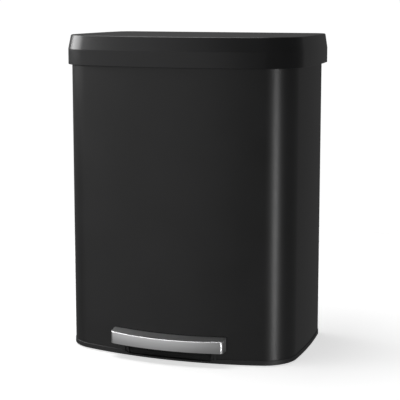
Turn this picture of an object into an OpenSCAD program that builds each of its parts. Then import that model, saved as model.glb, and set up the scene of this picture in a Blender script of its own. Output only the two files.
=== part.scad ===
// Pedal trash can: a wide kitchen can with a satin-black steel shell, a hinged lid with a
// chamfered front, a stainless foot bar and a lift-out inner bucket.
// The can stands on the floor at z = 0, faces -Y, and its width runs along X.

/* [Body] */
// Overall height, floor to lid top
overall_h = 660; // [640:5:700]
// Width of the steel shell
body_w = 494; // [480:1:520]
// Depth of the steel shell, at its middle
body_d = 320; // [310:1:340]
// Radius of the gently bowed front
front_r = 720; // [650:10:900]
// Radius of the slightly bowed sides
side_r = 1300; // [1100:50:1800]
// Radius of the two front corners
front_corner_r = 74; // [60:1:80]
// Radius of the two back corners
back_corner_r = 32; // [28:1:36]
// Thickness of the shell's sheet steel
sheet_t = 0.6; // [0.6:0.1:1]
// Top of the shell, where the rim collar sits
shell_top = 600; // [590:1:604]

/* [Base] */
// Height of the base ring that shows under the shell
ring_top = 12; // [10:1:16]
// How far the base ring stands out past the shell
ring_flare = 1; // [0.5:0.1:2]
// Width of the opening behind the pedal
notch_w = 196; // [180:2:200]

/* [Lid] */
// How far the lid stands out past the shell at the sides
lid_side = 9; // [8:0.5:10]
// How far the lid stands out past the shell in front
lid_front = 6; // [6:0.5:9]
// How far the lid stands out past the shell at the back
lid_back = 24; // [22:1:26]
// Height of the sloped band round the top of the lid
chamfer_h = 29; // [24:1:32]
// How far the band leans in at the front
chamfer_front = 8; // [6:0.5:9]
// How far the band leans in at the sides
chamfer_side = 4.5; // [3:0.5:6]
// Wall of the lid moulding
lid_t = 2; // [1.8:0.1:2.2]

/* [Pedal] */
// Width of the foot bar
pedal_w = 244; // [220:2:250]
// How far the foot bar stands in front of the shell
pedal_proud = 30; // [28:1:32]
// Underside of the foot bar
pedal_bottom = 30; // [29:1:32]
// Top of the foot bar at its back edge
pedal_top = 57; // [56:1:58]

/* [Mechanism] */
// Radius of the round that the lid levers unroll on
cam_base_r = 22; // [22:0.5:23]
// Diameter of the lever axle under the bucket
axle_d = 8; // [6:0.5:8]
// Diameter of the two push rods
rod_d = 5; // [4:0.5:5]
// Diameter of the lid's hinge pins
hinge_pin_d = 6; // [5:0.5:6]
// Radial clearance of every running fit
running_gap = 0.05; // [0.03:0.01:0.09]

/* [Hidden] */
$fn = 48;

// The footprint is centred on the origin, from the foot bar's front to the lid's back.
total_d = body_d + pedal_proud + lid_back;
front_y = -total_d / 2 + pedal_proud;
back_y = total_d / 2 - lid_back;
front_centre = [0, front_y + front_r];
side_centre = [body_w / 2 - side_r, (front_y + back_y) / 2];

floor_z = 4;
floor_t = 3;
floor_top = floor_z + floor_t;
foot_x = 185;
foot_front_y = front_y + 70;
foot_back_y = back_y - 40;
spigot_top = 45;
lip_top = 6;
notch_top = 52;

collar_t = 3;
deck_top = shell_top + collar_t;
bucket_back = 43;
bucket_inset = 18;
bucket_wall = 2.2;
bucket_bottom = 74;
rim_t = 3;

lid_bottom = shell_top - 1;
liner_z = 630;
liner_t = 2.5;
liner_wall_low = 607;

hinge_y = back_y + 9;
hinge_z = shell_top + 6;
hinge_x = 150;
lever_t = 12;
ear_t = 6.5;
ear_gap = 0.5;
cam_start = 32;
lid_open = 78;
slot_front_y = hinge_y - 40;

rod_y = hinge_y - cam_base_r;
rod_low = 41;
rod_high = 569;
contact_gap = 0.3;
head_top = hinge_z - cam_start - contact_gap;
divider_y = back_y - 32;
divider_t = 0.8;
guide_back_y = back_y - sheet_t - 0.4;

pivot_y = back_y - 215;
pivot_z = 26;
arm_x = 70;
arm_t = 4;
bar_low = 32;
bar_t = 4;
pad_t = 3;
bracket_x = 86;
pedal_gap = 2;
pedal_front_r = 480;
pedal_corner_r = 8;
pedal_slope = 1 / 6;

black_steel = [0.10, 0.10, 0.10];
black_plastic = [0.13, 0.13, 0.14];
grey_plastic = [0.32, 0.33, 0.35];
zinc_steel = [0.66, 0.67, 0.69];
bright_steel = [0.75, 0.75, 0.76];
white_plastic = [0.85, 0.85, 0.83];
black_rubber = [0.06, 0.06, 0.06];

function arc(c, r, a0, a1, n) =
    [for (i = [0 : n]) c + r * [cos(a0 + (a1 - a0) * i / n), sin(a0 + (a1 - a0) * i / n)]];
function angle_from(c, p) = atan2(p[1] - c[1], p[0] - c[0]);
function tail(list) = [for (i = [1 : len(list) - 1]) list[i]];
// The right half of an outline, mirrored to the left; both ends lie on the middle plane.
function both_sides(half) = concat(half, [for (i = [len(half) - 2 : -1 : 1]) [-half[i][0], half[i][1]]]);
// The centre of a corner round of radius r inside the front round c1, q1 and the side round c2, q2.
function corner_centre(c1, q1, c2, q2, r) =
    let (a = q1 - r, b = q2 - r, d = norm(c2 - c1), e = (c2 - c1) / d,
        t = (a * a - b * b + d * d) / (2 * d), h = sqrt(a * a - t * t))
    c1 + e * t + h * [-e[1], e[0]];
// The can's outline in plan, moved out by front, side and back, with corner rounds rf and rb.
function outline(front, side, back, rf, rb) =
    let (q1 = front_r + front, q2 = side_r + side,
        cf = corner_centre(front_centre, q1, side_centre, q2, rf),
        cb_y = back_y + back - rb,
        cb = [side_centre[0] + sqrt(pow(q2 - rb, 2) - pow(cb_y - side_centre[1], 2)), cb_y],
        a1 = angle_from(front_centre, cf), a2 = angle_from(side_centre, cf),
        a3 = angle_from(side_centre, cb))
    both_sides(concat(arc(front_centre, q1, -90, a1, 8), tail(arc(cf, rf, a1, a2, 8)),
        tail(arc(side_centre, q2, a2, a3, 6)), tail(arc(cb, rb, a3, 90, 6)), [[0, back_y + back]]));
// The same outline moved out evenly by d.
function offset_outline(d) = outline(d, d, d, front_corner_r + d, back_corner_r + d);
function bucket_outline(d) =
    outline(d - bucket_inset, d - bucket_inset, d - bucket_back, front_corner_r - bucket_inset + d, 24 + d);
// Depth at which the front round, moved out by d, lies at width x.
function front_at(x, d) = front_centre[1] - sqrt(pow(front_r + d, 2) - x * x);
// Width at which the side round, moved out by d, lies at depth y.
function side_at(y, d) = side_centre[0] + sqrt(pow(side_r + d, 2) - pow(y - side_centre[1], 2));

module plate(points, z0, z1) translate([0, 0, z0]) linear_extrude(z1 - z0) polygon(points);
module wall(outer, inner, z0, z1) difference() {
    plate(outer, z0, z1);
    plate(inner, z0 - 1, z1 + 1);
}
module block(x0, x1, y0, y1, z0, z1) translate([x0, y0, z0]) cube([x1 - x0, y1 - y0, z1 - z0]);
// A block and its mirror image on the left.
module pair() { children(); mirror([1, 0, 0]) children(); }
module side_of(s) { if (s < 0) mirror([1, 0, 0]) children(); else children(); }
// A side profile in (y, z), carried across the width from x0 to x1.
module across(profile, x0, x1)
    translate([x0, 0, 0]) rotate([90, 0, 90]) linear_extrude(x1 - x0) polygon(profile);
module x_rod(x0, x1, y, z, r) translate([x0, y, z]) rotate([0, 90, 0]) cylinder(h = x1 - x0, r = r);
module y_rod(y0, y1, x, z, r) translate([x, y0, z]) rotate([-90, 0, 0]) cylinder(h = y1 - y0, r = r);
module z_rod(z0, z1, x, y, r) translate([x, y, z0]) cylinder(h = z1 - z0, r = r);
module tube(z0, z1, x, y, r, bore) difference() {
    z_rod(z0, z1, x, y, r);
    z_rod(z0 - 1, z1 + 1, x, y, bore);
}

// ---- fixed parts of the body ----

// Openings through the shell, the collar and the collar's spigot for the two lid levers.
module lever_slots(z0, z1) pair()
    block(hinge_x - 9, hinge_x + 9, slot_front_y, back_y + 3, z0, z1);

module outer_shell() color(black_steel) {
    difference() {
        wall(offset_outline(0), offset_outline(-sheet_t), ring_top, shell_top);
        block(-notch_w / 2, notch_w / 2, front_y - 5, front_y + 20, ring_top - 1, notch_top);
        lever_slots(hinge_z - 30, shell_top + 1);
        for (x = rivet_x) y_rod(back_y - 5, back_y + 5, x, rivet_z, rivet_r + 0.05);
        for (x = cover_screw_x) y_rod(back_y - 5, back_y + 5, x, cover_screw_z, 2.1);
    }
    // the inner half of the folded seam down the back
    block(-7, 7, back_y - 2 * sheet_t, back_y - sheet_t, spigot_top + 5, shell_top - 36);
}

rivet_x = [-150, 0, 150];
rivet_z = 30;
rivet_r = 2;
cover_screw_x = [-100, 100];
cover_screw_z = 573.5;
fascia_half = notch_w / 2 + 3;

module base_tray() color(black_plastic) difference() {
    union() {
        difference() {
            plate(offset_outline(ring_flare), 2, ring_top);
            plate(offset_outline(-3.5), floor_top, ring_top + 1);
            plate(offset_outline(-3.5), 1, floor_z);
            block(-notch_w / 2, notch_w / 2, front_y - 5, front_y + 14, lip_top, ring_top + 1);
        }
        difference() {
            wall(offset_outline(-1), offset_outline(-3.5), ring_top, spigot_top);
            block(-notch_w / 2, notch_w / 2, front_y - 5, front_y + 20, ring_top - 1, spigot_top + 1);
        }
        // cheeks and sloped fascia that close the pedal opening from below
        pair() block(notch_w / 2, fascia_half, front_at(notch_w / 2, -3), front_y + 18, floor_top, spigot_top);
        across([[front_y + 8, 10], [front_y + 11, 10], [front_y + 17, 19], [front_y + 14, 19]],
            -fascia_half, fascia_half);
        block(-fascia_half, fascia_half, front_y + 10, front_y + 12.5, floor_top, 11);
        // ribs and the posts under the lever stops
        for (y = [front_y + 60, back_y - 135]) block(-205, 205, y, y + 2, floor_top, floor_top + 4);
        pair() block(128, 130, front_y + 60, back_y - 25, floor_top, floor_top + 4);
        pair() z_rod(floor_top, 24, stop_x, stop_y, 9);
    }
    for (s = [-1, 1], y = bracket_screw_y) z_rod(floor_z - 1, floor_top + 1, s * bracket_screw_x, y, 2.5);
    for (x = rivet_x) y_rod(back_y - 8, back_y, x, rivet_z, rivet_r + 0.05);
}

bracket_screw_x = 101;
bracket_screw_y = [pivot_y - 12, pivot_y + 12];
stop_x = 110;
stop_y = back_y - 56;

module rubber_feet() color(black_rubber)
    for (s = [-1, 1], y = [foot_front_y, foot_back_y]) z_rod(0, floor_z, s * foot_x, y, 12);

module rim_collar() color(black_plastic) difference() {
    union() {
        difference() {
            plate(offset_outline(1.2), shell_top, deck_top);
            plate(bucket_outline(4), shell_top - 1, deck_top + 1);
        }
        wall(offset_outline(-0.95), offset_outline(-3.2), shell_top - 28, shell_top);
    }
    lever_slots(shell_top - 40, deck_top + 1);
    for (s = [-1, 1], x = hinge_screw_x, y = hinge_screw_y)
        z_rod(shell_top - 1, deck_top + 1, s * x, y, 2);
    for (x = cover_screw_x) y_rod(back_y - 8, back_y, x, cover_screw_z, 2.1);
}

hinge_screw_x = [130.5, 169.5];
hinge_screw_y = [hinge_y - 30, hinge_y - 17];

module inner_bucket() color(grey_plastic) difference() {
    union() {
        plate(bucket_outline(0), bucket_bottom, deck_top);
        plate(bucket_outline(7.5), deck_top, deck_top + rim_t);
    }
    plate(bucket_outline(-bucket_wall), bucket_bottom + 3, deck_top + rim_t + 1);
    // hand grips in the two side walls
    pair() block(200, 240, side_centre[1] - 50, side_centre[1] + 50, 572, 592);
}

module divider_panel() color(zinc_steel) difference() {
    union() {
        block(-190, 190, divider_y, divider_y + divider_t, 80, 560);
        pair() block(190 - divider_t, 190, divider_y, divider_y + 14, 80, 560);
    }
    for (s = [-1, 1], z = guide_z) y_rod(divider_y - 1, divider_y + 2, s * hinge_x, z + 4, 1.6);
    for (z = clamp_screw_z) y_rod(divider_y - 1, divider_y + 2, 16, z, 1.6);
}

module hinge_cover() color(black_plastic) difference() {
    block(-176, 176, back_y + 0.1, total_d / 2 - 4, 560, 587);
    block(-173.5, 173.5, back_y - 1, total_d / 2 - 6.5, 562.5, 584.5);
    // the lid levers' cams dip in here when the lid is shut
    pair() block(hinge_x - 9, hinge_x + 9, back_y - 1, back_y + 12, 577, 588);
    for (x = cover_screw_x) y_rod(total_d / 2 - 8, total_d / 2, x, cover_screw_z, 2.1);
}

// Steel bracket with two ears that carry the hinge pin over the shell's top edge.
module hinge_bracket(s) color(zinc_steel) side_of(s) difference() {
    union() {
        for (x = [hinge_x - lever_t / 2 - ear_gap - ear_t, hinge_x + lever_t / 2 + ear_gap]) {
            across([[hinge_y - 43, deck_top], [back_y + 1.4, deck_top], [back_y + 1.4, shell_top + 0.5],
                [hinge_y, shell_top + 0.5], [hinge_y, hinge_z + 6.9], [hinge_y - 6, hinge_z + 6.5],
                [hinge_y - 34, deck_top + 5], [hinge_y - 43, deck_top + 5]], x, x + ear_t);
            x_rod(x, x + ear_t, hinge_y, hinge_z, 7);
        }
        block(hinge_x - 13, hinge_x + 13, hinge_y - 43.1, hinge_y - 40.3, deck_top, deck_top + 5);
        block(124, hinge_x - 12, hinge_y - 35, hinge_y - 12, deck_top, deck_top + 2);
        block(hinge_x + 12, 176, hinge_y - 35, hinge_y - 12, deck_top, deck_top + 2);
    }
    x_rod(130, 170, hinge_y, hinge_z, hinge_pin_d / 2 + 0.02);
    for (x = hinge_screw_x, y = hinge_screw_y) z_rod(deck_top - 1, deck_top + 4, x, y, 2.2);
}
module hinge_bracket_left() hinge_bracket(-1);
module hinge_bracket_right() hinge_bracket(1);

module hinge_pin(s) color(bright_steel) side_of(s) {
    x_rod(hinge_x - 13.5, hinge_x + 15, hinge_y, hinge_z, hinge_pin_d / 2);
    x_rod(hinge_x + 13.2, hinge_x + 15.2, hinge_y, hinge_z, hinge_pin_d / 2 + 1.5);
}
module hinge_pin_left() hinge_pin(-1);
module hinge_pin_right() hinge_pin(1);

guide_z = [112, 522];
module rod_guide(s, z) color(white_plastic) side_of(s) difference() {
    block(hinge_x - 12, hinge_x + 12, divider_y + divider_t, guide_back_y, z, z + 14);
    z_rod(z - 1, z + 15, hinge_x, rod_y, rod_d / 2 + running_gap);
    y_rod(divider_y, divider_y + 10, hinge_x, z + 4, 1.5);
}
module lower_guide_left() rod_guide(-1, guide_z[0]);
module lower_guide_right() rod_guide(1, guide_z[0]);
module upper_guide_left() rod_guide(-1, guide_z[1]);
module upper_guide_right() rod_guide(1, guide_z[1]);

damper_low = 250;
damper_high = 420;
clamp_screw_z = [296, 312];
module damper_cylinder() color(bright_steel) difference() {
    z_rod(damper_low, damper_high, 0, rod_y, 11);
    z_rod(damper_low + 4, damper_high - 6, 0, rod_y, 9);
    z_rod(damper_high - 8, damper_high + 1, 0, rod_y, 3 + running_gap);
}
module damper_clamp() color(zinc_steel) difference() {
    block(-21, 21, divider_y + divider_t, guide_back_y - 1.2, 290, 318);
    z_rod(289, 319, 0, rod_y, 11.05);
    for (z = clamp_screw_z) y_rod(divider_y, divider_y + 10, 16, z, 1.5);
}

// L-shaped bracket on the tray floor that holds one end of the lever axle.
module pivot_bracket(s) color(zinc_steel) side_of(s) difference() {
    union() {
        across([[pivot_y - 20, floor_top], [pivot_y + 20, floor_top], [pivot_y + 10, pivot_z],
            [pivot_y - 10, pivot_z]],
            bracket_x, bracket_x + 3);
        x_rod(bracket_x, bracket_x + 3, pivot_y, pivot_z, 10);
        block(bracket_x, 114, pivot_y - 20, pivot_y + 20, floor_top, floor_top + 3);
    }
    x_rod(bracket_x - 1, bracket_x + 4, pivot_y, pivot_z, axle_d / 2 + 0.02);
    for (y = bracket_screw_y) z_rod(floor_top - 1, floor_top + 4, bracket_screw_x, y, 2.6);
}
module pivot_bracket_left() pivot_bracket(-1);
module pivot_bracket_right() pivot_bracket(1);

module pivot_axle() color(bright_steel)
    x_rod(-bracket_x - 9, bracket_x + 9, pivot_y, pivot_z, axle_d / 2);

module axle_clips() color(zinc_steel) pair() difference() {
    x_rod(bracket_x + 4, bracket_x + 5.4, pivot_y, pivot_z, 7);
    x_rod(bracket_x + 3, bracket_x + 7, pivot_y, pivot_z, axle_d / 2 + 0.02);
    block(bracket_x + 3, bracket_x + 7, pivot_y - 2.5, pivot_y + 2.5, pivot_z - 10, pivot_z);
}

module lever_stops() color(black_rubber)
    pair() z_rod(24, bar_low - contact_gap, stop_x, stop_y, 8);

module shell_rivets() color(black_steel) for (x = rivet_x) {
    y_rod(back_y - 6, back_y + 0.1, x, rivet_z, rivet_r);
    y_rod(back_y + 0.05, back_y + 1.2, x, rivet_z, 4);
}
module bracket_screws() color(zinc_steel) for (s = [-1, 1], y = bracket_screw_y) {
    z_rod(floor_z + 0.2, floor_top + 3.1, s * bracket_screw_x, y, 2.4);
    z_rod(floor_top + 3.05, floor_top + 6, s * bracket_screw_x, y, 4.4);
}
module hinge_screws() color(zinc_steel) for (s = [-1, 1], x = hinge_screw_x, y = hinge_screw_y) {
    z_rod(shell_top + 0.2, deck_top + 2.1, s * x, y, 1.95);
    z_rod(deck_top + 2.05, deck_top + 4.2, s * x, y, 3.4);
}
module cover_screws() color(black_steel) for (x = cover_screw_x) {
    y_rod(back_y - 6, total_d / 2 - 3.9, x, cover_screw_z, 2);
    y_rod(total_d / 2 - 3.95, total_d / 2 - 1.8, x, cover_screw_z, 4);
}
module guide_screws() color(zinc_steel) {
    for (s = [-1, 1], z = guide_z) guide_screw(s * hinge_x, z + 4);
    for (z = clamp_screw_z) guide_screw(16, z);
}
module guide_screw(x, z) {
    y_rod(divider_y - 0.1, divider_y + 8, x, z, 1.45);
    y_rod(divider_y - 2.2, divider_y - 0.05, x, z, 3);
}

// ---- lid ----

lid_corner_r = 34;
lid_low = outline(lid_front, lid_side, lid_back, front_corner_r + lid_side, lid_corner_r);
lid_high = outline(lid_front - chamfer_front, lid_side - chamfer_side, lid_back - 2,
    front_corner_r + lid_side - chamfer_side, lid_corner_r - 2);
lid_brow = outline(lid_front - chamfer_front - 2, lid_side - chamfer_side - 2, lid_back - 4,
    front_corner_r + lid_side - chamfer_side - 2, lid_corner_r - 4);
lid_low_in = outline(lid_front - lid_t, lid_side - lid_t, lid_back - lid_t,
    front_corner_r + lid_side - lid_t, lid_corner_r - lid_t);
lid_high_in = outline(lid_front - chamfer_front - lid_t, lid_side - chamfer_side - lid_t,
    lid_back - 2 - lid_t, front_corner_r + lid_side - chamfer_side - lid_t, lid_corner_r - 2 - lid_t);

function ring_at(points, z) = [for (p = points) [p[0], p[1], z]];
function side_faces(n, lower, upper) = [for (i = [0 : n - 1])
    each [[lower + i, upper + i, upper + (i + 1) % n], [lower + i, upper + (i + 1) % n, lower + (i + 1) % n]]];

// A cup-shaped moulding: outer rings from the lower edge to the top, then inner rings back down.
module lid_shell() color(black_plastic) {
    n = len(lid_low);
    rings = [ring_at(lid_low, lid_bottom), ring_at(lid_low, overall_h - chamfer_h),
        ring_at(lid_high, overall_h - 1), ring_at(lid_brow, overall_h),
        ring_at(lid_high_in, overall_h - lid_t), ring_at(lid_low_in, overall_h - chamfer_h),
        ring_at(lid_low_in, lid_bottom)];
    polyhedron(points = [for (ring = rings) each ring],
        faces = concat(side_faces(n, 0, n), side_faces(n, n, 2 * n), side_faces(n, 2 * n, 3 * n),
            [[for (i = [n - 1 : -1 : 0]) 3 * n + i]], [[for (i = [0 : n - 1]) 4 * n + i]],
            side_faces(n, 4 * n, 5 * n), side_faces(n, 5 * n, 6 * n), side_faces(n, 6 * n, 0)));
}

module lid_liner() color(black_plastic) {
    difference() {
        union() {
            plate(outline(-4, -4, 13, front_corner_r - 4, 30), liner_z, liner_z + liner_t);
            wall(offset_outline(-4), offset_outline(-6.5), liner_wall_low, liner_z);
        }
        block(-300, 300, hinge_y - 58, 300, liner_wall_low - 1, liner_z);
        for (s = [-1, 1], y = lid_screw_y) z_rod(liner_z - 1, liner_z + 4, s * hinge_x, y, 2.05);
    }
    for (s = [-1, 1], y = lid_screw_y) tube(liner_z + liner_t, liner_z + 9, s * hinge_x, y, 5, 2.05);
    for (s = [-1, 1], y = [-60, 60]) z_rod(liner_z + liner_t, overall_h - lid_t, s * 120, side_centre[1] + y, 5);
}

lid_screw_y = [hinge_y - 52, hinge_y - 36];

// The lever under each end of the lid: a hub on the hinge pin, a flange screwed to the liner,
// and a toe whose edge is the involute of a round of cam_base_r, so that the lid turns in
// proportion to the lift of the rod below it.
function cam_edge(a) = let (s = cam_start - cam_base_r * a * PI / 180)
    [hinge_y - cam_base_r * cos(a) + s * sin(a), hinge_z - cam_base_r * sin(a) - s * cos(a)];
module lid_lever(s) color(bright_steel) side_of(s) difference() {
    union() {
        across(concat([for (i = [0 : 13]) cam_edge(lid_open * i / 13)],
            [[hinge_y - 1, hinge_z - 7], [hinge_y - 7, hinge_z + 3], [hinge_y - 14, hinge_z - 8],
            [hinge_y - 22.5, hinge_z - 25], [hinge_y - 23, hinge_z - 31.3]]),
            hinge_x - lever_t / 2, hinge_x + lever_t / 2);
        x_rod(hinge_x - lever_t / 2, hinge_x + lever_t / 2, hinge_y, hinge_z, 8);
        across([[hinge_y - 7.5, hinge_z], [hinge_y + 7.5, hinge_z], [hinge_y + 5, liner_z - 2],
            [hinge_y - 58, liner_z - 2], [hinge_y - 58, liner_z - 6], [hinge_y - 20, liner_z - 12]],
            hinge_x - lever_t / 2, hinge_x + lever_t / 2);
        block(hinge_x - 12, hinge_x + 12, hinge_y - 60, hinge_y + 3, liner_z - 3, liner_z);
    }
    x_rod(hinge_x - 10, hinge_x + 10, hinge_y, hinge_z, hinge_pin_d / 2 + running_gap);
    for (y = lid_screw_y) {
        z_rod(liner_z - 20, liner_z + 1, hinge_x, y, 2.1);
        z_rod(liner_z - 20, liner_z - 5, hinge_x, y, 4.2);
    }
}
module lid_lever_left() lid_lever(-1);
module lid_lever_right() lid_lever(1);

module lid_screws() color(zinc_steel) for (s = [-1, 1], y = lid_screw_y) {
    z_rod(liner_z - 5.1, liner_z + 7, s * hinge_x, y, 2);
    z_rod(liner_z - 7, liner_z - 5.05, s * hinge_x, y, 3.8);
}

module lid_bumpers() color(black_rubber) {
    pair() z_rod(deck_top + contact_gap, liner_wall_low, 140, front_at(140, -5.25), 3.5);
    pair() z_rod(deck_top + contact_gap, liner_wall_low, side_at(65, -5.25), 65, 3.5);
}

// ---- pedal and lever ----

// The foot bar's outline in plan, moved in by d, with its back edge gap away from the shell.
function pedal_outline(d, gap) =
    let (r = pedal_front_r - d, rc = pedal_corner_r - d, xe = pedal_w / 2 - d,
        cy = front_y - pedal_proud + pedal_front_r, xc = xe - rc,
        a = asin(xc / (r - rc)), yc = cy - (r - rc) * cos(a))
    both_sides(concat(arc([0, cy], r, -90, -90 + a, 8), tail(arc([xc, yc], rc, -90 + a, 0, 6)),
        [for (i = [0 : 8]) [xe * (1 - i / 8), front_at(xe * (1 - i / 8), gap)]]));
// Everything under the foot bar's sloped top, lowered by d.
module under_pedal_top(d, z0) across([[front_y - 60, z0], [front_y + 30, z0],
    [front_y + 30, pedal_top - d + 32 * pedal_slope], [front_y - 60, pedal_top - d - 58 * pedal_slope]],
    -pedal_w, pedal_w);

module pedal_cover() color(bright_steel) difference() {
    intersection() {
        plate(pedal_outline(0, pedal_gap), pedal_bottom, pedal_top + 20);
        under_pedal_top(0, pedal_bottom);
    }
    intersection() {
        plate(pedal_outline(1, -8), pedal_bottom - 1, pedal_top + 20);
        under_pedal_top(1, pedal_bottom - 1);
    }
}

module pedal_core() color(black_plastic) difference() {
    intersection() {
        plate(pedal_outline(1.1, pedal_gap + 0.1), pedal_bottom + 1, pedal_top + 20);
        under_pedal_top(1.1, pedal_bottom + 1);
    }
    // moulding pockets underneath
    block(-60, 60, front_y - 25, front_y - 5, pedal_bottom, pedal_top - 9);
    pair() block(79, 110, front_y - 20, front_y - 1, pedal_bottom, pedal_top - 9);
    // slots for the lever arms and holes for their screws
    pair() block(arm_x - arm_t / 2 - 0.1, arm_x + arm_t / 2 + 0.1, front_y - 19.2, front_y + 20, 35.8, 48.2);
    pair() x_rod(58, 80, pedal_screw_y, 42, 2.05);
}

pedal_screw_y = front_y - 10;

module lever_arm(s) color(zinc_steel) side_of(s) difference() {
    union() {
        across([[front_y - 19, 36], [front_y + 17, 36], [pivot_y - 20, 19], [pivot_y + 20, 19],
            [bar_y - 29, 22], [bar_y + 11, 24], [bar_y + 11, bar_low], [bar_y - 90, bar_low],
            [pivot_y + 20, 34], [pivot_y - 20, 35], [front_y + 23, 48], [front_y - 19, 48]],
            arm_x - arm_t / 2, arm_x + arm_t / 2);
        x_rod(arm_x - arm_t / 2, arm_x + arm_t / 2, pivot_y, pivot_z, 12);
        block(arm_x - 11, arm_x + 11, bar_y - 10, bar_y + 10, bar_low - 3, bar_low);
    }
    x_rod(arm_x - 5, arm_x + 5, pivot_y, pivot_z, 7.05);
    x_rod(arm_x - 5, arm_x + 5, pedal_screw_y, 42, 2.1);
    for (x = rivet_offset) z_rod(bar_low - 4, bar_low + 1, arm_x + x, bar_y, 2.05);
}
module lever_arm_left() lever_arm(-1);
module lever_arm_right() lever_arm(1);
rivet_offset = [-6.5, 6.5];
bar_y = back_y - 56;

// Flat cross bar with a finger under each push rod.
module lift_bar() color(zinc_steel) difference() {
    union() {
        block(-162, 162, bar_y - 11, bar_y + 11, bar_low, bar_low + bar_t);
        pair() block(140, 160, bar_y - 11, rod_y + 8, bar_low, bar_low + bar_t);
    }
    for (s = [-1, 1], x = rivet_offset) z_rod(bar_low - 1, bar_low + bar_t + 1, s * (arm_x + x), bar_y, 2.05);
}

module pivot_bush(s) color(white_plastic) side_of(s) difference() {
    union() {
        x_rod(arm_x - 6, arm_x + 6, pivot_y, pivot_z, 7);
        x_rod(arm_x + arm_t / 2 + 0.05, arm_x + arm_t / 2 + 2, pivot_y, pivot_z, 10);
    }
    x_rod(arm_x - 8, arm_x + 8, pivot_y, pivot_z, axle_d / 2 + running_gap);
}
module pivot_bush_left() pivot_bush(-1);
module pivot_bush_right() pivot_bush(1);

// Domed buttons, so that the bar can tilt under the flat feet of the rods.
module lift_pads() color(black_rubber) pair() intersection() {
    z_rod(bar_low + bar_t, bar_low + bar_t + pad_t, hinge_x, rod_y, 7.5);
    translate([hinge_x, rod_y, bar_low + bar_t + pad_t - 16]) sphere(r = 16);
}

module pedal_screws() color(zinc_steel) pair() {
    x_rod(59.9, 79, pedal_screw_y, 42, 2);
    x_rod(57, 59.95, pedal_screw_y, 42, 3.8);
}

module lever_rivets() color(bright_steel) for (s = [-1, 1], x = rivet_offset) {
    z_rod(bar_low - 4.5, bar_low - 3.02, s * (arm_x + x), bar_y, 3.4);
    z_rod(bar_low - 3.1, bar_low + bar_t + 0.1, s * (arm_x + x), bar_y, 2);
    z_rod(bar_low + bar_t + 0.02, bar_low + bar_t + 1.6, s * (arm_x + x), bar_y, 3.4);
}

// ---- push rods, bridge and damper piston ----

module push_rod(s) color(bright_steel) side_of(s) z_rod(rod_low, rod_high, hinge_x, rod_y, rod_d / 2);
module push_rod_left() push_rod(-1);
module push_rod_right() push_rod(1);

// Flat-topped head that the lid lever's toe rolls on.
module rod_head(s) color(white_plastic) side_of(s) difference() {
    union() {
        block(hinge_x - 4.5, hinge_x + 4.5, rod_y - 8, rod_y + 3, 566, head_top);
        z_rod(556, 567, hinge_x, rod_y, 4.5);
    }
    z_rod(555, rod_high + 0.2, hinge_x, rod_y, rod_d / 2 + 0.02);
}
module rod_head_left() rod_head(-1);
module rod_head_right() rod_head(1);

module rod_foot(s) color(white_plastic) side_of(s) difference() {
    union() {
        z_rod(bar_low + bar_t + pad_t + contact_gap, 46, hinge_x, rod_y, 8);
        z_rod(45, 56, hinge_x, rod_y, 5);
    }
    z_rod(rod_low - 0.2, 57, hinge_x, rod_y, rod_d / 2 + 0.02);
}
module rod_foot_left() rod_foot(-1);
module rod_foot_right() rod_foot(1);

bridge_z = 470;
bridge_t = 6;
module rod_bridge() color(zinc_steel) difference() {
    block(-158, 158, rod_y - 5, rod_y + 5, bridge_z, bridge_z + bridge_t);
    for (s = [-1, 1]) z_rod(bridge_z - 1, bridge_z + bridge_t + 1, s * hinge_x, rod_y, rod_d / 2 + 0.02);
    z_rod(bridge_z - 1, bridge_z + bridge_t + 1, 0, rod_y, 3.02);
}
module rod_clips() color(bright_steel) for (s = [-1, 1], z = [bridge_z - 2, bridge_z + bridge_t])
    tube(z, z + 2, s * hinge_x, rod_y, 5, rod_d / 2 + 0.02);

module damper_piston() color(bright_steel) {
    z_rod(300, 308, 0, rod_y, 9 - running_gap);
    z_rod(307, bridge_z + bridge_t + 6, 0, rod_y, 3);
}
module damper_nut() color(zinc_steel)
    tube(bridge_z + bridge_t, bridge_z + bridge_t + 4, 0, rod_y, 5.5, 3.02);

outer_shell();
base_tray();
rubber_feet();
rim_collar();
inner_bucket();
divider_panel();
hinge_cover();
hinge_bracket_left();
hinge_bracket_right();
hinge_pin_left();
hinge_pin_right();
lower_guide_left();
lower_guide_right();
upper_guide_left();
upper_guide_right();
damper_cylinder();
damper_clamp();
pivot_bracket_left();
pivot_bracket_right();
pivot_axle();
axle_clips();
lever_stops();
shell_rivets();
bracket_screws();
hinge_screws();
cover_screws();
guide_screws();
lid_shell();
lid_liner();
lid_lever_left();
lid_lever_right();
lid_bumpers();
lid_screws();
pedal_cover();
pedal_core();
lever_arm_left();
lever_arm_right();
lift_bar();
pivot_bush_left();
pivot_bush_right();
lift_pads();
pedal_screws();
lever_rivets();
push_rod_left();
push_rod_right();
rod_head_left();
rod_head_right();
rod_foot_left();
rod_foot_right();
rod_bridge();
rod_clips();
damper_piston();
damper_nut();
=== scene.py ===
import math

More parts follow.
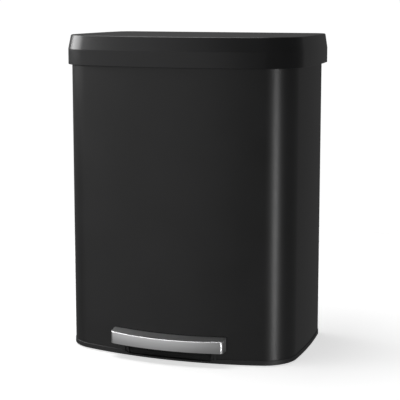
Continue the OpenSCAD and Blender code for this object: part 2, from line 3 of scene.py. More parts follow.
import bpy
import numpy as np
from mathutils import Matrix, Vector


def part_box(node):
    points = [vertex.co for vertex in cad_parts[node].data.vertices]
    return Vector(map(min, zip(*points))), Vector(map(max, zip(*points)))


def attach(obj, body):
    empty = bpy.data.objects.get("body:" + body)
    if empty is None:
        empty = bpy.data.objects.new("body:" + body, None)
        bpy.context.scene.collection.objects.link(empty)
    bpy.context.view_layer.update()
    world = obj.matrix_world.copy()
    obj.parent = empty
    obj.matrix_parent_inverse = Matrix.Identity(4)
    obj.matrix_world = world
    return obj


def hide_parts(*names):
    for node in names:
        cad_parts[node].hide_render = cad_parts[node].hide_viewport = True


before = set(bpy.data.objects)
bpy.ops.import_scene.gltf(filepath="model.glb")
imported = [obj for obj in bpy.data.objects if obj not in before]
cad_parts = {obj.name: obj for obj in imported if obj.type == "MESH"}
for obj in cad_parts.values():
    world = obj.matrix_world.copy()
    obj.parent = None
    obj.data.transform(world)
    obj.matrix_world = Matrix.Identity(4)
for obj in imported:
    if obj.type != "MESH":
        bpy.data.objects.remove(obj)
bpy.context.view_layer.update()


# ---- Outer shell ---------------------------------------------------------------------------------
# One wrap of 0.6 mm sheet steel bent to the can's footprint and hooked together in a folded seam
# down the back. It is powder-coated satin black, notched for the pedal and slotted for the levers.

def box_mm(node):
    """The lowest and highest corner of a node of the frame, in millimetres."""
    return [1000 * np.array(corner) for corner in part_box(node)]


shell_low, shell_high = box_mm("outer_shell")
half_width, front_y, back_y = shell_high[0], shell_low[1], shell_high[1]
ring_top, shell_top = shell_low[2], shell_high[2]
FRONT_R, SIDE_R, FRONT_CORNER, BACK_CORNER = 720.0, 1300.0, 74.0, 32.0
front_centre = np.array([0.0, front_y + FRONT_R])
side_centre = np.array([half_width - SIDE_R, (front_y + back_y) / 2])
NOTCH, NOTCH_TOP = 98.0, 52.0
LEVER_X, LEVER_SLOT, SLOT_LOW, SLOT_FRONT = 150.0, 9.0, 576.0, 132.0


def arc(centre, radius, start, end, steps):
    """Points on a circle: centre + radius (cos a, sin a), with a going from start to end."""
    a = start + (end - start) * np.asarray(steps)
    return centre + radius * np.stack([np.cos(a), np.sin(a)], 1)


def even_steps(n):
    return np.linspace(0, 1, n + 1)


notch_step = math.asin(NOTCH / FRONT_R) / math.radians(17.1)
FRONT_STEPS = np.r_[np.linspace(0, notch_step, 9), notch_step + 0.002, np.linspace(notch_step, 1, 11)[1:]]
BACK_COLUMNS = [159.0, 141.0, 110.0, 80.0, 50.0, 25.0, 7.4, 6.4, 5.8, 5.2, 4.6, 0.0]


def footprint(front, side, back, front_corner, back_corner):
    """The can seen from above as a closed loop, anticlockwise from the front's middle: a shallow
    front round, a corner round tangent to it, a bowed side, a back corner and the straight back,
    each moved out by the given amount, and the right half mirrored to make the left."""
    q1, q2 = FRONT_R + front, SIDE_R + side
    a, b = q1 - front_corner, q2 - front_corner
    across = side_centre - front_centre
    d = np.hypot(*across)
    e = across / d
    t = (a * a - b * b + d * d) / (2 * d)
    c1 = front_centre + e * t + math.sqrt(a * a - t * t) * np.array([-e[1], e[0]])
    c2_y = back_y + back - back_corner
    c2 = np.array([side_centre[0] + math.sqrt((q2 - back_corner) ** 2 - (c2_y - side_centre[1]) ** 2), c2_y])
    a1, a2, a3 = (math.atan2(p[1] - c[1], p[0] - c[0])
                  for c, p in ((front_centre, c1), (side_centre, c1), (side_centre, c2)))
    back_x = np.r_[np.linspace(c2[0], BACK_COLUMNS[0], 4)[1:], BACK_COLUMNS[1:]]
    half = np.vstack([
        arc(front_centre, q1, -math.pi / 2, a1, FRONT_STEPS),
        arc(c1, front_corner, a1, a2, even_steps(24)[1:]),
        arc(side_centre, q2, a2, a3, even_steps(16)[1:]),
        arc(c2, back_corner, a3, math.pi / 2, even_steps(14)[1:]),
        np.stack([back_x, np.full(len(back_x), back_y + back)], 1),
    ])
    return np.vstack([half, half[-2:0:-1] * [-1, 1]])


def moved_out(d):
    """The footprint moved out evenly by d."""
    return footprint(d, d, d, FRONT_CORNER + d, BACK_CORNER + d)


def ring(loop, z):
    """A loop of plan points lifted to height z, which is one number or one for each point."""
    return np.column_stack([loop, np.broadcast_to(z, len(loop))])


def skin(rings, around=True, along=False, caps=False, keep=None):
    """A surface over a grid of points, rings[i, j]: square i, j joins point j to j + 1 on ring i to
    the same two points on ring i + 1. around joins the last point of a ring to its first, along
    the last ring to the first, caps closes both ends, and keep says which squares stay."""
    grid = np.asarray(rings, float)
    m, n = grid.shape[:2]
    i, j = np.meshgrid(np.arange(m if along else m - 1), np.arange(n if around else n - 1), indexing="ij")
    up, right = (i + 1) % m, (j + 1) % n
    squares = np.stack([i * n + j, i * n + right, up * n + right, up * n + j], 2)
    faces = (squares.reshape(-1, 4) if keep is None else squares[keep]).tolist()
    if caps:
        faces += [list(range(n - 1, -1, -1)), list(range((m - 1) * n, m * n))]
    return grid.reshape(-1, 3), faces


def build(name, parts, body, node, finish, sheet=0.0, edge=0.0, sharp=35):
    """Joins the parts, given in millimetres, into one mesh that rides on a body in the node's place.
    sheet is the thickness given to an open surface, and edge the width of its rounded edges."""
    points, faces, count = [], [], 0
    for part_points, part_faces in parts:
        points.append(np.asarray(part_points, float))
        faces += [[v + count for v in face] for face in part_faces]
        count += len(part_points)
    mesh = bpy.data.meshes.new(name)
    mesh.from_pydata((np.vstack(points) / 1000).tolist(), [], faces)
    mesh.polygons.foreach_set("use_smooth", np.ones(len(faces), bool))
    mesh.set_sharp_from_angle(angle=math.radians(sharp))
    mesh.materials.append(finish)
    mesh.validate()
    thing = bpy.data.objects.new(name, mesh)
    bpy.context.scene.collection.objects.link(thing)
    if sheet:
        wall = thing.modifiers.new("sheet", "SOLIDIFY")
        wall.thickness, wall.offset, wall.use_even_offset = sheet / 1000, -1, True
    if edge:
        rounding = thing.modifiers.new("edge", "BEVEL")
        rounding.width, rounding.segments, rounding.limit_method = edge / 1000, 3, "ANGLE"
        rounding.angle_limit, rounding.harden_normals = math.radians(28), True
    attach(thing, body)
    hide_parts(*([node] if isinstance(node, str) else node))
    return thing


def finish(name, colour, darker, rough, spread=0.05, metal=0.0, spec=0.5, cloud=9.0, grain=900.0,
           relief=0.12, depth=0.15, stretch=(1, 1, 1)):
    """A surface finish on the piece's own coordinates: a soft cloud of noise mixes two close colours,
    and a fine grain, stretched along one axis if it is brushed, sets the relief. Both set the gloss."""
    made = bpy.data.materials.new(name)
    made.use_nodes = True
    nodes, links = made.node_tree.nodes, made.node_tree.links
    shader = nodes["Principled BSDF"]
    shader.inputs["Metallic"].default_value = metal
    shader.inputs["Specular IOR Level"].default_value = spec
    place = nodes.new("ShaderNodeTexCoord")
    turn = nodes.new("ShaderNodeMapping")
    turn.inputs["Scale"].default_value = stretch
    links.new(place.outputs["Object"], turn.inputs["Vector"])
    mottle, fine = nodes.new("ShaderNodeTexNoise"), nodes.new("ShaderNodeTexNoise")
    for noise, size in ((mottle, cloud), (fine, grain)):
        noise.inputs["Scale"].default_value = size
        noise.inputs["Detail"].default_value = 4
        links.new(turn.outputs["Vector"], noise.inputs["Vector"])
    ramp = nodes.new("ShaderNodeValToRGB")
    ramp.color_ramp.elements[0].position, ramp.color_ramp.elements[1].position = 0.35, 0.7
    ramp.color_ramp.elements[0].color = (*darker, 1)
    ramp.color_ramp.elements[1].color = (*colour, 1)
    links.new(mottle.outputs["Fac"], ramp.inputs["Fac"])
    links.new(ramp.outputs["Color"], shader.inputs["Base Color"])
    gloss = nodes.new("ShaderNodeMapRange")
    gloss.inputs["To Min"].default_value = rough - 1.4 * spread
    gloss.inputs["To Max"].default_value = rough + 0.6 * spread
    links.new(fine.outputs["Fac"], gloss.inputs["Value"])
    patches = nodes.new("ShaderNodeMath")
    patches.operation = "MULTIPLY_ADD"
    patches.inputs[1].default_value = 0.8 * spread
    links.new(mottle.outputs["Fac"], patches.inputs[0])
    links.new(gloss.outputs["Result"], patches.inputs[2])
    links.new(patches.outputs["Value"], shader.inputs["Roughness"])
    bump = nodes.new("ShaderNodeBump")
    bump.inputs["Strength"].default_value = relief
    bump.inputs["Distance"].default_value = depth / 1000
    links.new(fine.outputs["Fac"], bump.inputs["Height"])
    links.new(bump.outputs["Normal"], shader.inputs["Normal"])
    return made


shell_coat = finish("satin_black_powder_coat", (0.0085, 0.0085, 0.0088), (0.0065, 0.0065, 0.0066), 0.36,
                    spec=0.42, grain=1500, relief=0.10)
shell_loop = moved_out(0)
seam = (shell_loop[:, 0] > 5.0) & (shell_loop[:, 0] < 6.0) & (shell_loop[:, 1] > 0)
shell_loop[seam, 1] -= 0.45
shell_rows = [ring_top, 13, 20, 36, NOTCH_TOP, 90, 200, 330, 460, 540, SLOT_LOW, 590, shell_top]
middle = (shell_loop + np.roll(shell_loop, -1, 0)) / 2
row_middle = (np.array(shell_rows[1:]) + shell_rows[:-1]) / 2
in_notch = (np.abs(middle[:, 0]) < NOTCH) & (middle[:, 1] < 0)
in_slot = (np.abs(np.abs(middle[:, 0]) - LEVER_X) < LEVER_SLOT) & (middle[:, 1] > 0)
cut = (row_middle[:, None] < NOTCH_TOP) & in_notch | (row_middle[:, None] > SLOT_LOW) & in_slot
build("shell_sheet", [skin([ring(shell_loop, z) for z in shell_rows], keep=~cut)],
      "can", "outer_shell", shell_coat, sheet=0.6, edge=0.15)


# ---- Base tray -----------------------------------------------------------------------------------
# The plastic foot of the can, one moulding in matt black: a ring that shows under the shell, a wall
# that stands up inside it, a floor, and the sloped fascia that closes the pedal opening from below.

tray_plastic = finish("base_plastic", (0.012, 0.012, 0.0125), (0.008, 0.008, 0.0084), 0.5, spec=0.45,
                      grain=700, relief=0.18, depth=0.25)
floor_top, lip_top, wall_top, fascia_half = 7.0, 6.0, 45.0, NOTCH + 3


def brick(x0, x1, y0, y1, z0, z1):
    """A block as two rings of four corners, closed at both ends."""
    loop = np.array([[x0, y0], [x1, y0], [x1, y1], [x0, y1]])
    return skin([ring(loop, z0), ring(loop, z1)], caps=True)


def carried_across(profile, x0, x1):
    """A closed side profile, as (depth, height) points, carried along the width from x0 to x1."""
    p = np.asarray(profile, float)
    ends = [np.column_stack([np.full(len(p), x), p]) for x in (x0, x1)]
    return skin(ends, caps=True)


def turned(profile, centre, axis=2, n=40):
    """A profile of (radius, height) points turned about an axis (0 x, 1 y, 2 z) through centre."""
    a = np.linspace(0, 2 * np.pi, n, endpoint=False)
    r, h = np.asarray(profile, float).T
    rings = np.stack([r[:, None] * np.cos(a), r[:, None] * np.sin(a), h[:, None] + 0 * a], 2)
    return skin(np.roll(rings, axis + 1, 2) + centre, caps=True)


tray_profile = [
    (-14, 4), (-3.6, 4), (-3.6, 2), (0.4, 2), (1, 2.8), (1, 11.4), (0.5, ring_top), (-1, ring_top),
    (-1, wall_top), (-3.5, wall_top), (-3.5, floor_top), (-13.8, floor_top), (-14.2, floor_top),
]
tray_rings = []
for out, z in tray_profile:
    loop = moved_out(out)
    low_lip = (np.abs(loop[:, 0]) < NOTCH + 0.15 * (out > -3)) & (loop[:, 1] < front_y + 14)
    tray_rings.append(ring(loop, np.where(low_lip, min(z, lip_top), z)))
fascia = [(front_y + back, z) for back, z in
          ((8, 9.8), (10, 8.4), (12, 10), (17, 18.4), (15.4, 19.6), (13.4, 18.6))]
tray_parts = [skin(tray_rings, caps=True), carried_across(fascia, -fascia_half, fascia_half),
              brick(-fascia_half, fascia_half, front_y + 10, front_y + 12.5, floor_top - 1, 10.8)]
for side in (-1, 1):
    cheek = sorted((side * NOTCH, side * fascia_half))
    tray_parts.append(brick(*cheek, front_y + 5, front_y + 18, floor_top - 1, wall_top))
    tray_parts.append(brick(*sorted((side * 128, side * 130)), front_y + 60, back_y - 25, floor_top - 1, 11))
    tray_parts.append(turned([(9, floor_top - 1), (9, 23.4), (8.4, 24)], [side * 110, back_y - 56, 0]))
for rib in (front_y + 60, back_y - 135):
    tray_parts.append(brick(-205, 205, rib, rib + 2, floor_top - 1, 11))
build("foot_moulding", tray_parts, "can", "base_tray", tray_plastic, edge=0.5)


# ---- Feet and rivets -----------------------------------------------------------------------------
# Four rubber discs pushed into the tray's underside, which the can stands on, and three domed
# steel rivets that hold the shell's lower edge to the tray's wall at the back.

rubber = finish("black_rubber", (0.016, 0.016, 0.016), (0.010, 0.010, 0.010), 0.75,
                spec=0.3, grain=1100, relief=0.3)
foot_low, foot_high = box_mm("rubber_feet")
foot_r = 12.0
pad = [(foot_r - 3, 0.6), (foot_r - 3.2, 0), (foot_r - 1.2, 0), (foot_r, 1.0), (foot_r, foot_high[2])]
feet = [turned(pad, [x, y, 0])
        for x in (foot_low[0] + foot_r, foot_high[0] - foot_r)
        for y in (foot_low[1] + foot_r, foot_high[1] - foot_r)]
build("foot_pads", feet, "can", "rubber_feet", rubber)

rivet_dome = [(2, -6), (2, 0.1), (4, 0.1), (3.9, 0.5), (3.3, 0.9), (2.2, 1.12), (0.8, 1.2)]
build("shell_rivet_domes", [turned(rivet_dome, [x, back_y, 30], axis=1, n=28) for x in (-150, 0, 150)],
      "can", "shell_rivets", shell_coat)


# ---- Lever axle and its brackets -----------------------------------------------------------------
# Two bent steel brackets screwed to the tray floor hold a plain steel axle, kept in by clips. The
# lever turns on it in two white plastic bushes, and two rubber buttons stop it on the way back.

def dress(nodes, finish):
    """Gives nodes of the frame, whose shape is already right, their finish."""
    for node in nodes:
        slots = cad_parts[node].data.materials
        for k in range(len(slots)):
            slots[k] = finish


def recess(r, h, depth=1.2, reach=2.1, width=0.55, n=48):
    """A screw's head from the rim in: a dome of (radius, height) points, pressed down by depth where
    the point lies within width of one of two crossed lines and nearer than reach to the middle."""
    a = np.linspace(0, 2 * np.pi, n, endpoint=False)
    x, y = r[:, None] * np.cos(a), r[:, None] * np.sin(a)
    line = np.clip((width - np.minimum(np.abs(x), np.abs(y))) / 0.25 + 1, 0, 1)
    inside = np.clip((reach - r) / 0.4, 0, 1)[:, None]
    return np.stack([x, y, h[:, None] - depth * line * inside], 2)


def screw(at, axis, way, head_r, head_h, shank_r, shank):
    """A cross-head screw: the shank's rings, the flat under the head, then the domed, recessed top,
    laid along an axis (0 x, 1 y, 2 z), with way -1 or 1 for the side its head faces."""
    r = head_r * np.array([1, 1, 0.985, 0.93, 0.82, 0.68, 0.6, 0.52, 0.44, 0.36, 0.28, 0.2, 0.12, 0.04])
    h = head_h * np.r_[0, 0.35 + 0.65 * np.sqrt(np.clip(1 - (r[1:] / head_r) ** 2, 0, 1))]
    top = recess(r, h, depth=0.55 * head_h, reach=0.6 * head_r, width=0.14 * head_r)
    a = np.linspace(0, 2 * np.pi, 48, endpoint=False)
    stem = np.stack([np.array([[shank_r * 0.7], [shank_r], [shank_r]]) * np.cos(a),
                     np.array([[shank_r * 0.7], [shank_r], [shank_r]]) * np.sin(a),
                     np.array([[-shank], [0.8 - shank], [0]]) + 0 * a], 2)
    rings = np.concatenate([stem, top])
    if way < 0:
        rings = rings[:, ::-1] * [1, 1, -1]
    return skin(np.roll(rings, axis + 1, 2) + at, caps=True)


zinc = finish("zinc_plate", (0.50, 0.51, 0.53), (0.38, 0.39, 0.41), 0.34,
              metal=1.0, cloud=60, grain=500, relief=0.06)
bright = finish("bright_bar", (0.60, 0.60, 0.61), (0.52, 0.52, 0.53), 0.22, metal=1.0, cloud=30, grain=900,
                stretch=(1, 1, 0.1), relief=0.04)
white = finish("white_acetal", (0.72, 0.71, 0.68), (0.64, 0.63, 0.60), 0.42, cloud=40, grain=800, relief=0.05)
dress(["pivot_bracket_left", "pivot_bracket_right", "axle_clips"], zinc)
dress(["pivot_axle"], bright)
dress(["pivot_bush_left", "pivot_bush_right"], white)
dress(["lever_stops"], rubber)
bracket_low, bracket_high = box_mm("bracket_screws")
head_r, head_h = 4.4, 3
build("bracket_screw_heads", [screw([x, y, bracket_high[2] - head_h], 2, 1, head_r, head_h, 2.4, 5.7)
                              for x in (bracket_low[0] + head_r, bracket_high[0] - head_r)
                              for y in (bracket_low[1] + head_r, bracket_high[1] - head_r)],
      "can", "bracket_screws", zinc)


# ---- Rim collar ----------------------------------------------------------------------------------
# A plastic frame pressed into the shell's top edge: a flat deck with the bucket's opening in it, and
# a wall that grips the inside of the sheet. Two slots at the back let the lid levers through.

def bucket_plan(d):
    """The bucket's opening: the footprint moved in by the bucket's clearances, then out by d."""
    return footprint(d - 18, d - 18, d - 43, FRONT_CORNER - 18 + d, 24 + d)


deck_top = box_mm("rim_collar")[1][2]
collar_low = shell_top - 28
rim, hole, grip_outside, grip_inside = moved_out(1.2), bucket_plan(4), moved_out(-0.95), moved_out(-3.2)
front_of_slots = np.stack([hole[:, 0], np.full(len(hole), SLOT_FRONT)], 1)
slot_line = np.where((rim[:, 1] > 150)[:, None], front_of_slots, (rim + hole) / 2)
collar_rings = [ring(loop, z) for loop, z in (
    (grip_outside, collar_low), (grip_outside, shell_top), (rim, shell_top), (rim, deck_top),
    (slot_line, deck_top), (hole, deck_top), (hole, shell_top), (slot_line, shell_top),
    (grip_inside, shell_top), (grip_inside, collar_low))]
stay = np.ones((10, len(rim)), bool)
stay[np.ix_([0, 1, 2, 3, 7, 8, 9], in_slot)] = False
collar_points, collar_faces = skin(collar_rings, along=True, keep=stay)
n = len(rim)
for column in np.flatnonzero(in_slot != np.roll(in_slot, 1)):
    wall_of_slot = [k * n + int(column) for k in (4, 3, 2, 1, 0, 9, 8, 7)]
    collar_faces.append(wall_of_slot if in_slot[column] else wall_of_slot[::-1])
collar_faces += [[7 * n + int(j), 7 * n + int(j) + 1, 4 * n + int(j) + 1, 4 * n + int(j)]
                 for j in np.flatnonzero(in_slot)]
collar_plastic = finish("collar_plastic", (0.014, 0.014, 0.0145), (0.010, 0.010, 0.0105), 0.46,
                        grain=800, relief=0.15)
build("collar_moulding", [(collar_points, collar_faces)], "can", "rim_collar", collar_plastic,
      edge=0.5)


# ---- Inner bucket --------------------------------------------------------------------------------
# The bin that takes the bag, a grey polypropylene moulding. It hangs by its flange on the collar and
# lifts out by a hand grip through each side wall. Its rim is rolled and its bottom edge rounded.

bucket_plastic = finish("grey_polypropylene", (0.085, 0.088, 0.094), (0.070, 0.073, 0.078), 0.42, cloud=14,
                        grain=650, relief=0.14, depth=0.25)
bucket_low, bucket_high = box_mm("inner_bucket")
flange_top, grip = bucket_high[2], (572.0, 592.0)
bucket_wall = 2.2
under_bottom = [(-9, bucket_low[2]), (-4, 74.6), (-1.2, 77)]
up_outside = [(0, z) for z in (82, 240, 420, grip[0], grip[1])]
over_flange = [(0, deck_top), (7.5, deck_top), (7.5, flange_top - 1.2), (6.4, flange_top), (-0.6, flange_top)]
down_inside = [(-bucket_wall, z) for z in (flange_top - 1.4, grip[1], grip[0], 420, 240, 86)]
over_bottom = [(-4, 80), (-9, 77.4), (-12, 77)]
bucket_wall_line = under_bottom + up_outside + over_flange + down_inside + over_bottom
bucket_rings = [ring(bucket_plan(d), z) for d, z in bucket_wall_line]
inner_line = bucket_plan(-1)
bucket_middle = (inner_line + np.roll(inner_line, -1, 0)) / 2
grip_half, past_x = 50.0, 200.0
held = (np.abs(bucket_middle[:, 1] - side_centre[1]) < grip_half) & (np.abs(bucket_middle[:, 0]) > past_x)
out_low, out_high, in_high, in_low = 6, 7, 14, 15  # the rings at the grips' edges
stay = np.ones((len(bucket_rings) - 1, len(inner_line)), bool)
stay[out_low, held] = stay[in_high, held] = False
bucket_points, bucket_faces = skin(bucket_rings, caps=True, keep=stay)
n = len(inner_line)
for j in np.flatnonzero(held):
    right = (int(j) + 1) % n
    bucket_faces += [[out_low * n + int(j), out_low * n + right, in_low * n + right, in_low * n + int(j)],
                     [out_high * n + right, out_high * n + int(j), in_high * n + int(j), in_high * n + right]]
for j in np.flatnonzero(held != np.roll(held, 1)):
    side_of_grip = [k * n + int(j) for k in (out_low, out_high, in_high, in_low)]
    bucket_faces.append(side_of_grip[::-1] if held[j] else side_of_grip)
build("bucket_moulding", [(bucket_points, bucket_faces)], "can", "inner_bucket",
      bucket_plastic, edge=0.5)


# ---- Mechanism panel, guides and damper ----------------------------------------------------------
# A zinc-plated sheet behind the bucket carries the white guides of the push rods and, clamped in the
# middle, the oil damper that slows the lid. Their screws come through from the bucket's side.

dress(["divider_panel", "damper_clamp"], zinc)
dress(["lower_guide_left", "lower_guide_right", "upper_guide_left", "upper_guide_right"], white)
dress(["damper_cylinder"], bright)
guide_front = box_mm("guide_screws")[0][1]
guide_places = [(side * LEVER_X, z) for side in (-1, 1) for z in (116, 526)]
clamp_places = [(16, 296), (16, 312)]
build("guide_screw_heads", [screw([x, guide_front + 2.15, z], 1, -1, 3, 2.1, 1.45, 8)
                            for x, z in guide_places + clamp_places],
      "can", "guide_screws", zinc)


# ---- Hinge brackets, pins and cover --------------------------------------------------------------
# Two steel brackets on the collar reach over the shell's edge and hold the hinge pins behind it. A
# hollow plastic strip, screwed to the back, covers the slots below them.

dress(["hinge_bracket_left", "hinge_bracket_right"], zinc)
dress(["hinge_pin_left", "hinge_pin_right"], bright)
hinge_low, hinge_high = box_mm("hinge_screws")
head_r, screw_x = 3.4, (LEVER_X - 19.5, LEVER_X + 19.5)
build("hinge_screw_heads", [screw([side * x, y, deck_top + 2.1], 2, 1, head_r, 2.1, 1.95, 4.9)
                            for side in (-1, 1) for x in screw_x
                            for y in (hinge_low[1] + head_r, hinge_high[1] - head_r)],
      "can", "hinge_screws", zinc)

strip_low, strip_high = box_mm("hinge_cover")
y0, y1, z0, z1 = strip_low[1], strip_high[1], strip_low[2], strip_high[2]
bend = np.radians(np.linspace(0, 90, 7))[:, None]
lower = [y1 - 5, z0 + 5] + 5 * np.hstack([np.sin(bend), -np.cos(bend)])
upper = [y1 - 5, z1 - 5] + 5 * np.hstack([np.cos(bend), np.sin(bend)])
strip = np.vstack([[y0, z0], lower, upper, [back_y + 12, z1], [y0, z1]])
strip_x = np.array([strip_low[0], -176 + 1.5, -LEVER_X - LEVER_SLOT, -LEVER_X + LEVER_SLOT, -70, 0, 70,
                    LEVER_X - LEVER_SLOT, LEVER_X + LEVER_SLOT, 176 - 1.5, strip_high[0]])
strip_rings = np.stack([np.column_stack([np.full(len(strip), x), strip]) for x in strip_x])
stay = np.ones((len(strip_x) - 1, len(strip) - 1), bool)
stay[2, -1] = stay[7, -1] = False
strip_points, strip_faces = skin(strip_rings, around=False, keep=stay)
last = (len(strip_x) - 1) * len(strip)
strip_faces += [list(range(len(strip) - 1, -1, -1)), list(range(last, last + len(strip)))]
build("hinge_strip", [(strip_points, strip_faces)], "can", "hinge_cover", tray_plastic,
      sheet=2.2, edge=0.6)
cover_low, cover_high = box_mm("cover_screws")
cover_z = (cover_low[2] + cover_high[2]) / 2
build("cover_screw_heads", [screw([x, cover_high[1] - 2.1, cover_z], 1, 1, 4, 2.1, 2, 24)
                            for x in (-100, 100)],
      "can", "cover_screws", shell_coat)


# ---- Lid -----------------------------------------------------------------------------------------
# One glossy black moulding like a shallow upturned tray: an upright lower band, a sloped upper band
# that meets it in a crisp line, a narrow bevel, and a flat top. It overhangs the shell all round.

lid_gloss = finish("lid_plastic", (0.0095, 0.0095, 0.0100), (0.0075, 0.0075, 0.0080), 0.30,
                   spread=0.04, spec=0.43, grain=1300, relief=0.06, depth=0.1)
lid_low, lid_high = box_mm("lid_shell")
rim_z, fold_z, top_z = lid_low[2], lid_high[2] - 29, lid_high[2]


def lid_plan(front, side, back, corner, wall=0.0):
    """The lid seen from above: the footprint moved out, less the thickness of the wall."""
    return footprint(front - wall, side - wall, back - wall, FRONT_CORNER + side - wall, corner - wall)


band, shoulder, brow = (6, 9, 24, 34), (-2, 4.5, 22, 32), (-4, 2.5, 20, 30)
lid_rings = [ring(lid_plan(*shoulder, 2), top_z - 2), ring(lid_plan(*band, 2), fold_z),
             ring(lid_plan(*band, 2), rim_z), ring(lid_plan(*band), rim_z), ring(lid_plan(*band), fold_z),
             ring(lid_plan(*shoulder), top_z - 1), ring(lid_plan(*brow), top_z)]
lid = build("lid_moulding", [skin(lid_rings, caps=True)], "lid", "lid_shell", lid_gloss,
            edge=0.8, sharp=12)


# ---- Lid liner, levers and bumpers ---------------------------------------------------------------
# A flat plastic ceiling inside the lid with a short wall round its front, ribbed and screwed to two
# thick steel levers. Each lever hangs on its hinge pin and ends in the curved toe its rod pushes.

ceiling, liner_wall_low, liner_back = 630.0, box_mm("lid_liner")[0][2], back_y + 9 - 58
sheet_loop = footprint(-4, -4, 13, FRONT_CORNER - 4, 30)
liner_parts = [skin([ring(sheet_loop, z) for z in (ceiling, ceiling + 2.5)], caps=True)]
outer_line, inner_line = moved_out(-4), moved_out(-6.5)
front_part = np.roll(np.arange(len(outer_line)), len(outer_line) // 2)
front_part = front_part[outer_line[front_part, 1] < liner_back]
loop = np.vstack([outer_line[front_part], inner_line[front_part[::-1]]])
liner_parts.append(skin([ring(loop, liner_wall_low), ring(loop, ceiling + 0.2)], caps=True))
for x in (-180, -60, 60, 180):
    liner_parts.append(brick(x - 0.9, x + 0.9, -105, 100, ceiling - 1.4, ceiling + 0.5))
for y in (-60, 0, 60):
    liner_parts.append(brick(-222, 222, y - 0.9, y + 0.9, ceiling - 1.4, ceiling + 0.5))
lever_boss = [(2.05, ceiling + 2), (5, ceiling + 2), (5, ceiling + 9), (2.05, ceiling + 9)]
for side in (-1, 1):
    for y in (120, 136):
        liner_parts.append(turned(lever_boss, [side * LEVER_X, y, 0], n=24))
    for y in (-57, 63):
        liner_parts.append(turned([(5, ceiling + 2), (5, top_z - 2.05)], [side * 120, y, 0], n=24))
liner_plastic = finish("liner_plastic", (0.020, 0.020, 0.021), (0.015, 0.015, 0.016), 0.48,
                       grain=700, relief=0.16)
build("liner_moulding", liner_parts, "lid", "lid_liner", liner_plastic, edge=0.4)
dress(["lid_lever_left", "lid_lever_right"], bright)
dress(["lid_bumpers"], rubber)
screw_low, screw_high = box_mm("lid_screws")
head_r = 3.8
build("lid_screw_heads", [screw([side * LEVER_X, y, ceiling - 5.05], 2, -1, head_r, 1.95, 2, 12)
                          for side in (-1, 1) for y in (screw_low[1] + head_r, screw_high[1] - head_r)],
      "lid", "lid_screws", zinc)


# ---- Pedal ---------------------------------------------------------------------------------------
# A foot bar bowed like the can's front: a thin cap of brushed stainless steel, folded down over a
# black plastic core and rounded where top and front meet. Its top slopes down towards the foot.

brushed = finish("brushed_stainless", (0.79, 0.79, 0.795), (0.71, 0.71, 0.715), 0.34, spread=0.08, metal=1.0,
                 cloud=5, grain=60, stretch=(0.25, 14, 14), relief=0.05, depth=0.1)
bar_low, bar_high = box_mm("pedal_cover")
BAR_R, BAR_CORNER, BAR_SLOPE, BAR_BACK, BAR_TOP = 480.0, 8.0, 1 / 6, front_y - 2, 57.0


def bar_front(d):
    """The bar's front and ends seen from above, from its back left corner round to its back right
    one, moved in by d: a straight end, a corner round, the bowed front, and the same mirrored."""
    r, rc, x_end = BAR_R - d, BAR_CORNER - d, bar_high[0] - d
    c = np.array([0, bar_low[1] + BAR_R])
    x_c = x_end - rc
    a = math.asin(x_c / (r - rc))
    c2 = np.array([x_c, c[1] - (r - rc) * math.cos(a)])
    back = front_centre[1] - math.sqrt((FRONT_R + 2) ** 2 - x_end ** 2)
    half = np.vstack([arc(c, r, -math.pi / 2, a - math.pi / 2, even_steps(24)),
                      arc(c2, rc, a - math.pi / 2, 0, even_steps(10)[1:]), [[x_end, back]]])
    return np.vstack([half[::-1] * [-1, 1], half[1:]])


def bar_top(loop):
    """The height of the sloped top over each plan point."""
    return BAR_TOP + (loop[:, 1] - BAR_BACK) * BAR_SLOPE


round_r = 1.8
bar_rings = [ring(bar_front(d), bar_low[2] + up) for d, up in ((0.9, 0), (0.2, 0.1), (0, 0.9))]
for a in np.radians(np.linspace(0, 90, 7)):
    loop = bar_front(round_r * (1 - math.cos(a)))
    bar_rings.append(ring(loop, bar_top(loop) - round_r * (1 - math.sin(a))))
loop = bar_front(round_r + 1)
bar_rings.append(ring(loop, bar_top(loop)))
bar_points, bar_faces = skin(bar_rings, around=False)
x = np.linspace(loop[-1, 0], loop[0, 0], 33)[1:-1]
back_edge = np.stack([x, front_centre[1] - np.sqrt((FRONT_R + 2) ** 2 - x ** 2)], 1)
first = (len(bar_rings) - 1) * len(loop)
bar_points = np.vstack([bar_points, ring(back_edge, bar_top(back_edge))])
bar_faces.append(list(range(first, first + len(loop) + len(x))))
build("pedal_cap", [(bar_points, bar_faces)], "pedal", "pedal_cover", brushed,
      sheet=1.0, edge=0.25)
dress(["pedal_core"], tray_plastic)


# ---- Lever, lift bar and push rods ---------------------------------------------------------------
# Two steel arms on the axle join the pedal to a cross bar at the back, whose rubber pads lift the
# feet of two steel rods. White heads on the rods push the lid levers; a bridge drives the damper.

dress(["lever_arm_left", "lever_arm_right", "lift_bar", "pedal_screws", "rod_bridge", "damper_nut"], zinc)
dress(["lift_pads"], rubber)
dress(["lever_rivets", "push_rod_left", "push_rod_right", "rod_clips", "damper_piston"], bright)
dress(["rod_head_left", "rod_head_right", "rod_foot_left", "rod_foot_right"], white)


# ---- Floor, camera and light ---------------------------------------------------------------------
# Not part of the object: a pale floor that fades out and stays out of reflections, four softboxes,
# the camera, and a room that is seen as plain white but lights and reflects as a broad panel at the
# front left that fades downwards. A light leaves out a thing where its glare would show.

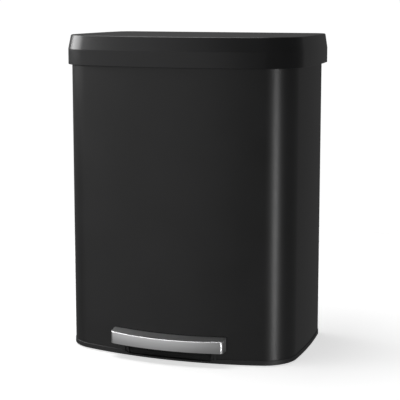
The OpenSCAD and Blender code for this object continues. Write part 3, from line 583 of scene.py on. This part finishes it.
floor_mesh = bpy.data.meshes.new("floor")
reach = 4.0
floor_corners = [(x * reach, y * reach, 0) for x, y in ((-1, -1), (1, -1), (1, 1), (-1, 1))]
floor_mesh.from_pydata(floor_corners, [], [(0, 1, 2, 3)])
floor = bpy.data.objects.new("floor", floor_mesh)
bpy.context.scene.collection.objects.link(floor)
pale = bpy.data.materials.new("pale_floor")
pale.use_nodes = True
nodes, links = pale.node_tree.nodes, pale.node_tree.links
nodes.remove(nodes["Principled BSDF"])
matt, glow, both, clear, fade = (nodes.new("ShaderNode" + kind) for kind in
                                 ("BsdfDiffuse", "Emission", "AddShader", "BsdfTransparent", "MixShader"))
matt.inputs["Color"].default_value = (0.8, 0.8, 0.8, 1)
glow.inputs["Strength"].default_value = 0.62
links.new(matt.outputs[0], both.inputs[0])
links.new(glow.outputs[0], both.inputs[1])
where, distance, edge_of = (nodes.new("ShaderNode" + kind) for kind in ("TexCoord", "VectorMath", "MapRange"))
distance.operation = "LENGTH"
edge_of.interpolation_type = "SMOOTHSTEP"
edge_of.inputs["From Min"].default_value, edge_of.inputs["From Max"].default_value = 0.75, 1.7
links.new(where.outputs["Object"], distance.inputs[0])
links.new(distance.outputs["Value"], edge_of.inputs["Value"])
links.new(edge_of.outputs["Result"], fade.inputs["Fac"])
links.new(both.outputs[0], fade.inputs[1])
links.new(clear.outputs[0], fade.inputs[2])
links.new(fade.outputs[0], nodes["Material Output"].inputs["Surface"])
floor_mesh.materials.append(pale)
floor.visible_glossy = floor.visible_shadow = False


def from_angles(around, up, distance):
    """A place around the can from its front and up from the floor, in degrees, at a distance."""
    a, e = math.radians(around), math.radians(up)
    return Vector((math.sin(a) * math.cos(e), -math.cos(a) * math.cos(e), math.sin(e))) * distance


world = bpy.data.worlds.new("white_room")
bpy.context.scene.world = world
world.use_nodes = True
nodes, links = world.node_tree.nodes, world.node_tree.links
room = nodes["Background"]
room.inputs["Color"].default_value = (1, 1, 1, 1)
way, toward_front, panel = (nodes.new("ShaderNode" + kind) for kind in ("TexCoord", "VectorMath", "MapRange"))
toward_front.operation = "DOT_PRODUCT"
toward_front.inputs[1].default_value = from_angles(-34, 0, 1)
panel.interpolation_type = "SMOOTHSTEP"
panel.inputs["From Min"].default_value, panel.inputs["From Max"].default_value = 0.66, 0.94
panel.inputs["To Min"].default_value = 0.13
height, fade_down = nodes.new("ShaderNodeSeparateXYZ"), nodes.new("ShaderNodeMapRange")
fade_down.inputs["From Min"].default_value, fade_down.inputs["From Max"].default_value = -0.30, -0.08
fade_down.inputs["To Min"].default_value, fade_down.inputs["To Max"].default_value = 0.36, 0.78
links.new(way.outputs["Generated"], height.inputs[0])
links.new(height.outputs["Z"], fade_down.inputs["Value"])
links.new(fade_down.outputs["Result"], panel.inputs["To Max"])
links.new(way.outputs["Generated"], toward_front.inputs[0])
links.new(toward_front.outputs["Value"], panel.inputs["Value"])
links.new(panel.outputs["Result"], room.inputs["Strength"])
seen, rays, pick = (nodes.new("ShaderNode" + kind) for kind in ("Background", "LightPath", "MixShader"))
seen.inputs["Color"].default_value, seen.inputs["Strength"].default_value = (1, 1, 1, 1), 1.02
links.new(rays.outputs["Is Camera Ray"], pick.inputs["Fac"])
links.new(room.outputs[0], pick.inputs[1])
links.new(seen.outputs[0], pick.inputs[2])
links.new(pick.outputs[0], nodes["World Output"].inputs["Surface"])


def softbox(name, place, aim, width, height, power):
    """A rectangular studio light at a place, turned towards a point."""
    lamp = bpy.data.lights.new(name, "AREA")
    lamp.shape, lamp.size, lamp.size_y, lamp.energy = "RECTANGLE", width, height, power
    thing = bpy.data.objects.new(name, lamp)
    thing.location = place
    thing.rotation_mode = "QUATERNION"
    thing.rotation_quaternion = (Vector(aim) - Vector(place)).to_track_quat("-Z", "Y")
    bpy.context.scene.collection.objects.link(thing)
    return thing


def leave_out(light, *things):
    """Keeps a light off some things, as a black card between them would."""
    unlit = bpy.data.collections.new(light.name + "_leaves_out")
    for thing in things:
        unlit.objects.link(thing)
    for member in unlit.collection_objects:
        member.light_linking.link_state = "EXCLUDE"
    light.light_linking.receiver_collection = unlit


side_light = softbox("side_light", from_angles(-88, 34, 2.4), (0, 0, 0.35), 1.5, 1.3, 44)
leave_out(side_light, floor)
leave_out(softbox("back_light", from_angles(-150, 38, 2.4), (0, 0, 0.35), 1.3, 1.3, 30), floor, lid)
leave_out(softbox("corner_strip", from_angles(56, -2, 1.9), (0, 0, -0.066), 0.13, 1.3, 11), lid)
softbox("top_light", from_angles(-85, 76, 2.3), (0, 0, 0.2), 1.4, 1.4, 32)

camera = bpy.data.cameras.new("camera")
camera.lens, camera.sensor_width, camera.shift_y = 108.99, 36, -0.06
camera.clip_start, camera.clip_end = 0.05, 60
viewer = bpy.data.objects.new("camera", camera)
away, eye_height = 2.547, 0.737
turn, tilt, turn_in = math.radians(19.99), math.radians(8.40), math.radians(-0.275)
heading = turn + turn_in
viewer.location = (away * math.sin(turn), -away * math.cos(turn), eye_height)
look = Vector((-math.sin(heading) * math.cos(tilt), math.cos(heading) * math.cos(tilt), -math.sin(tilt)))
viewer.rotation_mode = "QUATERNION"
viewer.rotation_quaternion = look.to_track_quat("-Z", "Y")
bpy.context.scene.collection.objects.link(viewer)
bpy.context.scene.camera = viewer
bpy.context.scene.view_settings.view_transform = "Standard"
